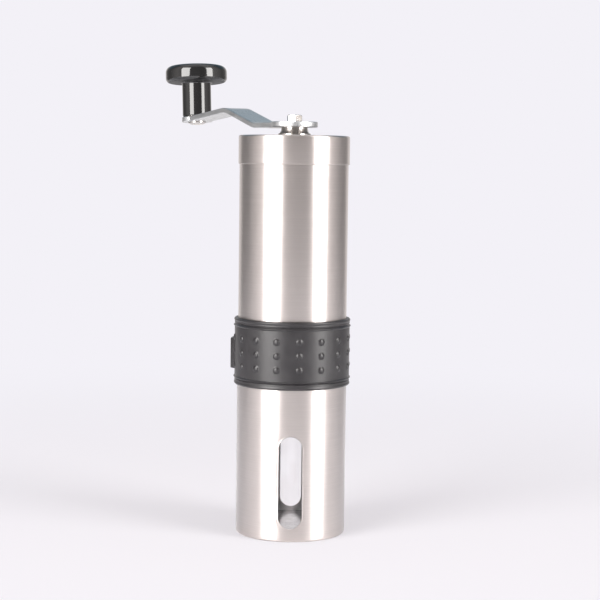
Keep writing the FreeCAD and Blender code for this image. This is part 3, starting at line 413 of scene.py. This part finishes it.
def makeCup():
    # a thin cylinder in four parts: a patch round each slot and a plain side between them
    look = {"wall": 0.5, "edge": 0.18, "slotWidth": 10.4, "slotBottom": 5.8, "slotLength": 40.5,
            "arcPoints": 25, "patchHalf": 9.0, "rows": 60, "across": 24, "rings": 12,
            "sideColumns": 84, "foot": 0.9, "footRows": 7, "grooveAt": 0.5, "grooveReach": 0.4,
            "grooveDepth": 0.05, "grooveRings": 10}
    low, high = millimetres("catch_cup")
    radius, top = high.x, high.z
    slot = look["slotWidth"] / 2
    lowCentre = look["slotBottom"] + slot
    highCentre = look["slotBottom"] + look["slotLength"] - slot
    eighth = 45  # an eighth of a turn, in degrees

    def arc(centre, start, end):
        angle = np.radians(np.linspace(start * eighth, end * eighth, look["arcPoints"]))
        return np.stack([slot * np.cos(angle), centre + slot * np.sin(angle)], axis=-1)

    # the slot's outline in four runs, one for each side of the patch of wall round it; an arc's
    # ends are counted in eighths of a turn
    half = look["patchHalf"]
    rightRun = np.concatenate([arc(lowCentre, -1, 0), arc(highCentre, 0, 1)])
    leftRun = np.concatenate([arc(highCentre, 3, 4), arc(lowCentre, 4, 5)])
    hole = np.concatenate([resampled(rightRun, look["rows"]),
                           resampled(arc(highCentre, 1, 3), look["across"]),
                           resampled(leftRun, look["rows"]),
                           resampled(arc(lowCentre, 5, 7), look["across"])])
    foot = look["foot"]
    footTurn = np.linspace(0, np.pi / 2, look["footRows"])
    wallRows = look["rows"] + 2 - look["footRows"]
    heights = np.concatenate([low.z + foot * (1 - np.cos(footTurn)),
                              np.linspace(low.z + foot, top, wallRows)[1:]])
    widths = np.linspace(half, -half, look["across"] + 1)
    sides = [np.stack([np.full(look["rows"], half), heights[:-1]], -1),
             np.stack([widths[:-1], np.full(look["across"], top)], -1),
             np.stack([np.full(look["rows"], -half), heights[:0:-1]], -1),
             np.stack([widths[:0:-1], np.full(look["across"], low.z)], -1)]
    border = np.concatenate(sides)
    # rings at set distances from the slot for its pressed groove, then onwards to the border
    near = np.linspace(0, look["grooveAt"] + look["grooveReach"], look["grooveRings"])
    spine = np.stack([0 * hole[:, 0], np.clip(hole[:, 1], lowCentre, highCentre)], -1)
    close = hole[None] + (hole - spine)[None] / slot * near[:, None, None]
    spread = (1 - (1 - np.linspace(0, 1, look["rings"])[1:]) ** 2)[:, None, None]
    patch = np.concatenate([close, close[-1:] + (border - close[-1])[None] * spread])
    dip = look["grooveDepth"] * hump(near - look["grooveAt"], look["grooveReach"])
    pressed = np.zeros(patch.shape[:2])
    pressed[:len(near)] = dip[:, None]

    def radiusAt(height):
        # the wall's foot is rounded: a quarter of a circle up to the foot's height
        short = np.clip(foot - (height - low.z), 0, foot)
        return radius - foot + np.sqrt(foot ** 2 - short ** 2)

    # the flat patch is laid on the cylinder: y = -sqrt(radius squared - x squared)
    local = radiusAt(patch[..., 1]) - pressed
    depth = np.sqrt(local ** 2 - patch[..., 0] ** 2)
    front = np.stack([patch[..., 0], -depth, patch[..., 1]], -1)
    rear = front * np.array([-1, -1, 1])
    rowRadius = radiusAt(heights)[:, None]
    start = np.arcsin(half / rowRadius)
    turn = start + (math.pi - 2 * start) * np.linspace(0, 1, look["sideColumns"])[None, :]
    rows = heights[:, None] + 0 * turn
    rightSide = np.stack([rowRadius * np.sin(turn), -rowRadius * np.cos(turn), rows], -1)
    leftSide = rightSide * np.array([-1, 1, 1])
    grids = [(front * mm, False, True), (rear * mm, False, True),
             (rightSide * mm, False, False), (leftSide * mm, False, False)]
    mesh = meshFromGrids("cupShell", grids, awayFrom=Vector((0, 0, high.z * mm / 2)))
    piece = addPiece(mesh, "cup", turnedSteel, ["catch_cup"])
    giveWall(piece, look["wall"] * mm, look["edge"] * mm)


makeTube()
makeLid()
makeCup()
print("steel shells made")


def makeBand():
    # a ring whose outer radius is a function of angle and height
    look = {"radius": 25.5, "bore": 24.1, "relief": 24.6, "reliefTop": 1.2, "edge": 0.45,
            "rimHeight": 0.22, "rimWidth": 1.5,
            "ridgeInset": 3.3, "ridgeHeight": 0.44, "ridgeWidth": 1.1,
            "grooveInset": 2.5, "grooveDepth": 0.28, "grooveWidth": 0.7,
            "bumpRows": 3, "bumpColumns": 16, "bumpTurn": 277.6, "bumpPitch": 6.1,
            "bumpReach": 1.45, "bumpHeight": 0.55, "bumpBlend": 6,
            "fineZone": 4.8, "fineRows": 50, "rows": 60, "columns": 576}
    low, high = millimetres("grip_band")
    angle = np.linspace(0, 2 * np.pi, look["columns"], endpoint=False)[None, :]
    lowZone, highZone = low.z + look["fineZone"], high.z - look["fineZone"]
    height = np.unique(np.concatenate([
        np.linspace(low.z, lowZone, look["fineRows"]),
        np.linspace(lowZone, highZone, look["rows"]),
        np.linspace(highZone, high.z, look["fineRows"])]))[:, None]
    # radius of the outside by height: rounded lips, a raised rim, a ridge and a groove at each end
    fromEnd = np.minimum(height - low.z, high.z - height)
    short = np.clip(look["edge"] - fromEnd, 0, look["edge"])
    rim, ridge, groove = look["rimWidth"] / 2, look["ridgeWidth"] / 2, look["grooveWidth"] / 2
    radius = look["radius"] - (look["edge"] - np.sqrt(look["edge"] ** 2 - short ** 2))
    radius = radius + look["rimHeight"] * hump(fromEnd - rim, rim)
    radius = radius + look["ridgeHeight"] * hump(fromEnd - look["ridgeInset"], ridge)
    radius = radius - look["grooveDepth"] * hump(fromEnd - look["grooveInset"], groove)
    # and by angle: domed bumps, whose height is a quarter circle of the distance from the nearest
    step = 2 * np.pi / look["bumpColumns"]
    turn = np.radians(look["bumpTurn"])
    aside = ((angle - turn + step / 2) % step - step / 2) * look["radius"]
    middle = (low.z + high.z) / 2
    lastRow = (look["bumpRows"] - 1) / 2
    row = np.clip(np.round((height - middle) / look["bumpPitch"]), -lastRow, lastRow)
    along = height - middle - row * look["bumpPitch"]
    away = np.sqrt(aside ** 2 + along ** 2) / look["bumpReach"]
    dome = np.sqrt(np.clip(1 - away ** 2, 0, 1)) * np.clip((1 - away) * look["bumpBlend"], 0, 1)
    radius = radius + look["bumpHeight"] * dome
    outside = np.stack([radius * np.cos(angle), radius * np.sin(angle), height + 0 * angle], -1)
    reliefTop = low.z + look["reliefTop"]
    bore = [(look["bore"], high.z), (look["bore"], reliefTop),
            (look["relief"], reliefTop), (look["relief"], low.z)]
    grid = np.concatenate([outside, turned(np.array(bore), look["columns"])]) * mm
    mesh = meshFromGrids("gripBand", [(grid, True, True)])
    addPiece(mesh, "tube", rubber, ["grip_band"])


def makeStowLoop():
    # strap that the arm's knob end is pushed into: a rounded section carried along a path round
    # the band; turn, span and rise are in degrees
    look = {"turn": 168, "span": 40, "height": 13.4, "drop": 1.4, "thickness": 1.0,
            "inner": 26.3, "sunk": 24.9, "rise": 7.0, "corner": 0.4, "cornerSteps": 4,
            "rows": 110}
    low, high = millimetres("grip_band")
    middle = (low.z + high.z) / 2 - look["drop"]
    share = np.linspace(0, 1, look["rows"])
    angle = np.radians(look["turn"] + look["span"] * (share - 0.5))
    fromEnd = np.minimum(share, 1 - share)
    climb = smoothStep(np.clip(fromEnd * look["span"] / look["rise"], 0, 1))
    centre = look["inner"] + look["thickness"] / 2
    radius = look["sunk"] + (centre - look["sunk"]) * climb
    path = np.stack([radius * np.cos(angle), radius * np.sin(angle)], -1)
    tangent = np.gradient(path, axis=0)
    tangent = tangent / np.linalg.norm(tangent, axis=1, keepdims=True)
    normal = np.stack([tangent[:, 1], -tangent[:, 0]], -1)
    half, tall = look["thickness"] / 2, look["height"] / 2
    section = roundCorners([(-half, -tall), (half, -tall), (half, tall), (-half, tall)],
                           look["corner"], look["cornerSteps"])
    # the ends shrink to a point inside the band, which closes the strap
    size = np.clip(fromEnd * (look["rows"] - 1), 0, 1)[:, None]
    out = section[None, :, 0] * size
    up = section[None, :, 1] * size
    grid = np.stack([path[:, 0, None] + normal[:, 0, None] * out,
                     path[:, 1, None] + normal[:, 1, None] * out, middle + up], -1) * mm
    mesh = meshFromGrids("stowLoop", [(grid, False, True)])
    addPiece(mesh, "tube", rubber)


makeBand()
makeStowLoop()
print("grip band made")

# where the crank points and how the knob leans, both from the knob's own joint
spin = next(joint for joint in frame["joints"] if joint["name"] == "knob_spin")
knobSeat = Vector(spin["pos_m"])
knobAxis = Vector(spin["axis"]).normalized()
armTurn = math.atan2(knobSeat.y, knobSeat.x)
armReach = math.hypot(knobSeat.x, knobSeat.y) / mm
outwards = Vector((math.cos(armTurn), math.sin(armTurn), 0))
knobAcross = knobAxis.cross(outwards).normalized()
knobPlace = Matrix.Translation(knobSeat) @ Matrix(
    (knobAcross.cross(knobAxis), knobAcross, knobAxis)).transposed().to_4x4()


def makeArm():
    # two eyes and the strip between them, flat by distance along and across, lifted to the
    # height of the bent line and turned to where the crank points
    look = {"hubEye": 10.2, "knobEye": 7.65, "halfWidth": 6.0, "thickness": 2.4,
            "firstBend": 32.5, "secondBend": 67.0, "rise": 8.0, "droop": 4.0, "bend": 30.0,
            "bendSteps": 8, "beyond": 1, "hexFlats": 6.2, "hexTurn": 40.0, "pinHole": 2.7,
            "edge": 0.35, "across": 12, "arcColumns": 60, "rings": 5, "stripRows": 90,
            "decimals": 4}
    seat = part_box("crank_arm")[0].z / mm
    top = seat + look["thickness"]
    end = armReach + look["knobEye"] + look["beyond"]
    fall = math.tan(math.radians(look["droop"])) * (end - look["secondBend"])
    bends = roundCorners(
        [(-look["hubEye"] - look["beyond"], top), (look["firstBend"], top),
         (look["secondBend"], top + look["rise"]), (end, top + look["rise"] - fall)],
        [0, look["bend"], look["bend"] + look["thickness"], 0], look["bendSteps"])
    half = look["halfWidth"]
    edgeRows = np.linspace(-half, half, look["across"] + 1)

    def eye(centre, radius, inner, facing):
        # rings from the hole's outline out to the eye's arc and the straight joint with the strip
        joint = math.sqrt(radius ** 2 - half ** 2)
        chord = np.stack([np.full(len(edgeRows), joint), edgeRows], -1)
        opening = math.asin(half / radius)
        angle = np.linspace(opening, 2 * math.pi - opening, look["arcColumns"])[1:-1]
        rim = np.concatenate([chord, radius * np.stack([np.cos(angle), np.sin(angle)], -1)])
        around = np.arctan2(rim[:, 1], rim[:, 0])
        hole = inner(around)[:, None] * np.stack([np.cos(around), np.sin(around)], -1)
        spread = np.linspace(0, 1, look["rings"])[:, None, None]
        grid = hole[None] + (rim - hole)[None] * spread
        return grid * np.array([facing, 1]) + np.array([centre, 0]), centre + facing * joint

    def hexagonHole(angle):
        return hexagonRadius(angle - math.radians(look["hexTurn"]) + armTurn, look["hexFlats"])

    def pinHole(angle):
        return 0 * angle + look["pinHole"]

    hub, hubJoint = eye(0, look["hubEye"], hexagonHole, 1)
    knob, knobJoint = eye(armReach, look["knobEye"], pinHole, -1)
    along = np.unique(np.concatenate([
        np.linspace(hubJoint, knobJoint, look["stripRows"]),
        bends[(bends[:, 0] > hubJoint) & (bends[:, 0] < knobJoint), 0]]).round(look["decimals"]))
    strip = np.stack(np.meshgrid(along, edgeRows, indexing="ij"), -1)
    grids = []
    for flat, closed in ((hub, True), (knob, True), (strip, False)):
        height = np.interp(flat[..., 0], bends[:, 0], bends[:, 1])
        turnedX = flat[..., 0] * math.cos(armTurn) - flat[..., 1] * math.sin(armTurn)
        turnedY = flat[..., 0] * math.sin(armTurn) + flat[..., 1] * math.cos(armTurn)
        grids.append((np.stack([turnedX, turnedY, height], -1) * mm, False, closed))
    mesh = meshFromGrids("crankArm", grids, awayFrom=Vector((0, 0, -1)))
    piece = addPiece(mesh, "crank", armSteel, ["crank_arm"])
    giveWall(piece, look["thickness"] * mm, look["edge"] * mm)


def makeCollar():
    # a flared ring under the arm, turned
    look = {"bore": 3.6, "topRadius": 5.8, "footRadius": 7.2, "footLip": 0.5, "rows": 12,
            "columns": 96}
    low, high = millimetres("crank_collar")
    share = np.linspace(0, 1, look["rows"])
    # the flare's radius falls from foot to top along a quarter of an ellipse
    widening = 1 - np.sqrt(1 - (1 - share) ** 2)
    flare = look["topRadius"] + (look["footRadius"] - look["topRadius"]) * widening
    heights = low.z + look["footLip"] + (high.z - low.z - look["footLip"]) * share
    outline = [(look["bore"], low.z), (look["footRadius"], low.z),
               *zip(flare.tolist(), heights.tolist()), (look["bore"], high.z)]
    mesh = turnedRing("crankCollar", outline, 0.0, columns=look["columns"], steps=1)
    addPiece(mesh, "crank", brightSteel, ["crank_collar"])


def makeShaft():
    # drive shaft by angle and height: the smaller of the round section and the hexagon's side,
    # a thread that is a sloping triangle wave at the lower end, and a domed top; one section
    # gives way to the next within a step
    look = {"radius": 3.5, "flats": 6.0, "turn": 40.0, "thread": 2.5, "threadPitch": 0.8,
            "threadDepth": 0.35, "underBurr": 0.4, "clipGroove": 0.6, "chamfer": 0.7,
            "threadRows": 140, "chamferRows": 7, "columns": 96,
            "step": 0.02, "clipStep": 0.03, "seatStep": 0.01}
    low, high = millimetres("drive_shaft")
    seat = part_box("crank_arm")[0].z / mm
    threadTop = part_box("ring_burr")[0].z / mm - look["underBurr"]
    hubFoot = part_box("lower_bush")[0].z / mm
    clipLow, clipHigh = millimetres("shaft_clip")
    heights = np.unique(np.concatenate([
        np.linspace(low.z, threadTop, look["threadRows"]),
        [threadTop + look["step"], hubFoot, hubFoot + look["step"]],
        [clipLow.z - look["clipStep"], clipLow.z, clipHigh.z, clipHigh.z + look["clipStep"]],
        [seat - look["seatStep"], seat + look["seatStep"]],
        high.z - look["chamfer"] * (1 - np.linspace(0, 1, look["chamferRows"]))]))[:, None]
    angle = np.linspace(0, 2 * np.pi, look["columns"], endpoint=False)[None, :]
    side = hexagonRadius(angle - math.radians(look["turn"]), look["flats"])
    hexed = (heights > seat) | ((heights > threadTop) & (heights <= hubFoot))
    radius = np.where(hexed, np.minimum(side, look["radius"] + 0 * heights), look["radius"])
    turns = (heights - low.z) / look["threadPitch"] - angle / (2 * np.pi)
    thread = look["thread"] - look["threadDepth"] * np.abs((turns % 1) * 2 - 1)
    radius = np.where(heights <= threadTop, thread, radius)
    clipped = (heights >= clipLow.z) & (heights <= clipHigh.z)
    radius = np.where(clipped, look["radius"] - look["clipGroove"], radius)
    fromTop = np.clip(high.z - heights, 0, None)
    nearTop = np.clip(1 - fromTop / look["chamfer"], 0, 1)
    radius = np.minimum(radius, look["radius"] - look["chamfer"] * nearTop ** 2)
    wall = np.stack([radius * np.cos(angle), radius * np.sin(angle), heights + 0 * angle], -1)
    lowEnd = 0 * wall[:1] + np.array([0, 0, low.z])
    highEnd = 0 * wall[:1] + np.array([0, 0, high.z])
    grid = np.concatenate([lowEnd, wall, highEnd]) * mm
    mesh = meshFromGrids("driveShaft", [(grid, False, True)])
    addPiece(mesh, "shaft", brightSteel, ["drive_shaft"])


def makeKnob():
    # stem and head in one section, turned round the knob's own axis, with a cap let into the top
    look = {"bottom": 0.5, "stem": 7.25, "stemTop": 17.4, "rim": 15.45, "top": 25.7,
            "bore": 2.56, "capSeat": 10.0, "capDepth": 1.2, "pocket": 9.0, "pocketFloor": 21.3,
            "boreEdge": 0.2, "footEdge": 0.4, "stemFillet": 1.0, "lowEdge": 2.2, "topEdge": 3.2,
            "seatEdge": 0.12, "columns": 160, "steps": 10, "capGap": 0.05, "capEdge": 0.15}
    capFoot = look["top"] - look["capDepth"]
    corners = [(look["bore"], look["bottom"]), (look["stem"], look["bottom"]),
               (look["stem"], look["stemTop"]), (look["rim"], look["stemTop"]),
               (look["rim"], look["top"]), (look["capSeat"], look["top"]),
               (look["capSeat"], capFoot), (look["pocket"], capFoot),
               (look["pocket"], look["pocketFloor"]), (look["bore"], look["pocketFloor"])]
    radii = [look["boreEdge"], look["footEdge"], look["stemFillet"], look["lowEdge"],
             look["topEdge"], look["seatEdge"], 0, 0, 0, 0]
    mesh = turnedRing("knobBody", corners, radii, look["columns"], look["steps"], knobPlace)
    addPiece(mesh, "knob", blackGloss, ["knob"])
    capRadius = look["capSeat"] - look["capGap"]
    cap = [(0, capFoot), (capRadius, capFoot), (capRadius, look["top"]), (0, look["top"])]
    mesh = turnedSolid("knobCap", cap, [0, 0, look["capEdge"], 0], place=knobPlace)
    addPiece(mesh, "knob", blackGloss, ["knob_cap"])


makeArm()
makeCollar()
makeShaft()
makeKnob()
print("crank made")


def makeFloor():
    # sizes of the sweep are in metres
    look = {"rings": (0, 0.3, 0.8, 1.5), "flat": 2.2, "curve": 1.2, "curveRows": 16,
            "wall": 4.0, "columns": 96, "near": -0.2, "far": 0.6, "glow": 1.0,
            "paper": "e9e8ec", "backdrop": "f3f1f7", "roughness": 0.35, "specular": 0.3,
            "bounceRadius": 0.6, "bounceLift": 0.0001, "bounceRoughness": 0.9}
    deepBelow = Vector((0, 0, -50))
    angle = np.linspace(0, np.pi / 2, look["curveRows"])
    rise = np.stack([look["flat"] + look["curve"] * np.sin(angle),
                     look["curve"] * (1 - np.cos(angle))], -1)
    profile = np.concatenate([[(ring, 0) for ring in look["rings"]], rise,
                              [(look["flat"] + look["curve"], look["wall"])]])
    grid = turned(profile, look["columns"])
    mesh = meshFromGrids("floorSweep", [(grid, False, True)], awayFrom=deepBelow)
    sweep = bpy.data.objects.new("floorSweep", mesh)
    # white paper: matt and lit near the part, even and bright further out
    material, tree, shader = startMaterial("whitePaper")
    shader.inputs["Base Color"].default_value = linearColour(look["paper"])
    shader.inputs["Roughness"].default_value = look["roughness"]
    shader.inputs["Specular IOR Level"].default_value = look["specular"]
    place = addNode(tree, "ShaderNodeTexCoord").outputs["Object"]
    radius = addNode(tree, "ShaderNodeVectorMath", {0: place}, operation="LENGTH")
    fade = addNode(tree, "ShaderNodeMapRange", {
        "Value": radius.outputs["Value"], "From Min": look["near"], "From Max": look["far"]},
        interpolation_type="SMOOTHSTEP")
    even = addNode(tree, "ShaderNodeEmission", {
        "Color": linearColour(look["backdrop"]), "Strength": look["glow"]})
    mix = addNode(tree, "ShaderNodeMixShader", {
        0: fade.outputs["Result"], 1: shader.outputs["BSDF"], 2: even.outputs["Emission"]})
    output = next(node for node in tree.nodes if node.type == "OUTPUT_MATERIAL")
    connect(tree, mix.outputs["Shader"], output, "Surface")
    mesh.materials.append(material)
    scene.collection.objects.link(sweep)
    sweep.visible_glossy = False
    sweep.visible_diffuse = False
    sweep.visible_transmission = True
    # the part of the floor near enough to show in the steel and to light its underside
    disc = np.array([(0, look["bounceLift"]), (look["bounceRadius"], look["bounceLift"])])
    grid = turned(disc, look["columns"])
    mesh = meshFromGrids("floorBounce", [(grid, False, True)], awayFrom=deepBelow)
    bounce = bpy.data.objects.new("floorBounce", mesh)
    matt, tree, shader = startMaterial("whitePaperMatt")
    shader.inputs["Base Color"].default_value = linearColour(look["paper"])
    shader.inputs["Roughness"].default_value = look["bounceRoughness"]
    mesh.materials.append(matt)
    scene.collection.objects.link(bounce)
    bounce.visible_camera = False
    bounce.visible_shadow = False
    bounce.visible_transmission = False


# azimuth runs from the front towards +X; angles in degrees, sizes in metres
softboxes = {
    "softboxLeft": {"azimuth": -44, "elevation": 14, "distance": 0.9, "width": 0.53,
                    "height": 1.0, "radiance": 10.0, "colour": "fffdfb"},
    "softboxRight": {"azimuth": 59, "elevation": 14, "distance": 0.9, "width": 0.41,
                     "height": 1.0, "radiance": 10.0, "colour": "fffdfb"},
    "softboxTop": {"azimuth": 0, "elevation": 90, "distance": 1.5, "width": 1.8,
                   "height": 1.8, "radiance": 0.5, "colour": "fdfcff"}}
softboxTarget = Vector((0, 0, 0.10))


def makeSoftbox(name, look):
    # a lamp's power is its radiance times pi times its area
    lamp = bpy.data.lights.new(name, "AREA")
    lamp.shape = "RECTANGLE"
    lamp.size = look["width"]
    lamp.size_y = look["height"]
    lamp.energy = look["radiance"] * math.pi * look["width"] * look["height"]
    lamp.color = linearColour(look["colour"])[:3]
    turn, lift = math.radians(look["azimuth"]), math.radians(look["elevation"])
    away = Vector((math.sin(turn) * math.cos(lift), -math.cos(turn) * math.cos(lift),
                   math.sin(lift)))
    holder = bpy.data.objects.new(name, lamp)
    holder.location = softboxTarget + away * look["distance"]
    holder.rotation_mode = "QUATERNION"
    holder.rotation_quaternion = away.to_track_quat("Z", "Y")
    holder.visible_camera = False
    scene.collection.objects.link(holder)


def makeWorld():
    # grey room by azimuth in degrees from the front towards +X: dim walls with bright shoulders
    # beside the softboxes, and a bright wall behind that darkens overhead
    look = {"levels": {-180: 1.0, -150: 1.0, -136: 0.36, -110: 0.36, -88: 0.9, -72: 1.3,
                       -30: 0.6, 0: 0.52, 32: 0.42, 74: 1.3, 97: 0.85, 117: 0.45, 138: 0.4,
                       152: 1.0, 180: 1.0},
            "colour": "f6f1ef", "overhead": "c8eaff", "overheadLevel": 0.42,
            "overheadEdge": (0.22, 0.45), "behindEdge": (0.1, 0.5)}
    world = bpy.data.worlds.new("studio")
    world.use_nodes = True
    tree = world.node_tree
    tree.nodes.clear()
    direction = addNode(tree, "ShaderNodeTexCoord").outputs["Generated"]
    split = addNode(tree, "ShaderNodeSeparateXYZ", {0: direction})
    across, along, up = (split.outputs[axis] for axis in "XYZ")
    forward = addNode(tree, "ShaderNodeMath", {0: along, 1: -1.0}, operation="MULTIPLY")
    azimuth = addNode(tree, "ShaderNodeMath", {0: across, 1: forward.outputs[0]},
                      operation="ARCTAN2")
    share = addNode(tree, "ShaderNodeMapRange", {
        "Value": azimuth.outputs[0], "From Min": -math.pi, "From Max": math.pi})
    ramp = addNode(tree, "ShaderNodeValToRGB", {"Fac": share.outputs["Result"]})
    stops = ramp.color_ramp.elements
    while len(stops) < len(look["levels"]):
        stops.new(0.5)
    strongest = max(look["levels"].values())
    for stop, (angle, level) in zip(stops, look["levels"].items()):
        stop.position = (angle + 180) / 360
        stop.color = (level / strongest, level / strongest, level / strongest, 1)
    level = addNode(tree, "ShaderNodeMath", {0: ramp.outputs["Color"], 1: strongest},
                    operation="MULTIPLY")
    edges = [
        addNode(tree, "ShaderNodeMapRange", {"Value": value, "From Min": starts, "From Max": full})
        for value, (starts, full) in ((up, look["overheadEdge"]), (along, look["behindEdge"]))]
    overhead = addNode(tree, "ShaderNodeMath", {
        0: edges[0].outputs["Result"], 1: edges[1].outputs["Result"]}, operation="MULTIPLY")
    walls = addNode(tree, "ShaderNodeBackground", {
        "Color": linearColour(look["colour"]), "Strength": level.outputs[0]})
    ceiling = addNode(tree, "ShaderNodeBackground", {
        "Color": linearColour(look["overhead"]), "Strength": look["overheadLevel"]})
    mix = addNode(tree, "ShaderNodeMixShader", {
        0: overhead.outputs[0], 1: walls.outputs["Background"],
        2: ceiling.outputs["Background"]})
    addNode(tree, "ShaderNodeOutputWorld", {"Surface": mix.outputs["Shader"]})
    scene.world = world


def makeCamera():
    # lens and sensor in millimetres, places in metres, pitch below level and roll in degrees
    look = {"lens": 95.52, "sensor": 36, "clip": (0.01, 20), "place": (0.0033, -0.7036, 0.1637),
            "pitch": 4.88, "roll": 0.7}
    data = bpy.data.cameras.new("studioCamera")
    data.lens = look["lens"]
    data.sensor_width = look["sensor"]
    data.clip_start, data.clip_end = look["clip"]
    camera = bpy.data.objects.new("studioCamera", data)
    tilt = Matrix.Rotation(math.radians(90 - look["pitch"]), 4, "X")
    roll = Matrix.Rotation(math.radians(look["roll"]), 4, "Z")
    camera.matrix_world = Matrix.Translation(look["place"]) @ tilt @ roll
    scene.collection.objects.link(camera)
    scene.camera = camera


makeFloor()
for softboxName, softboxLook in softboxes.items():
    makeSoftbox(softboxName, softboxLook)
makeWorld()
makeCamera()
scene.view_settings.view_transform = "Standard"
print("studio made")
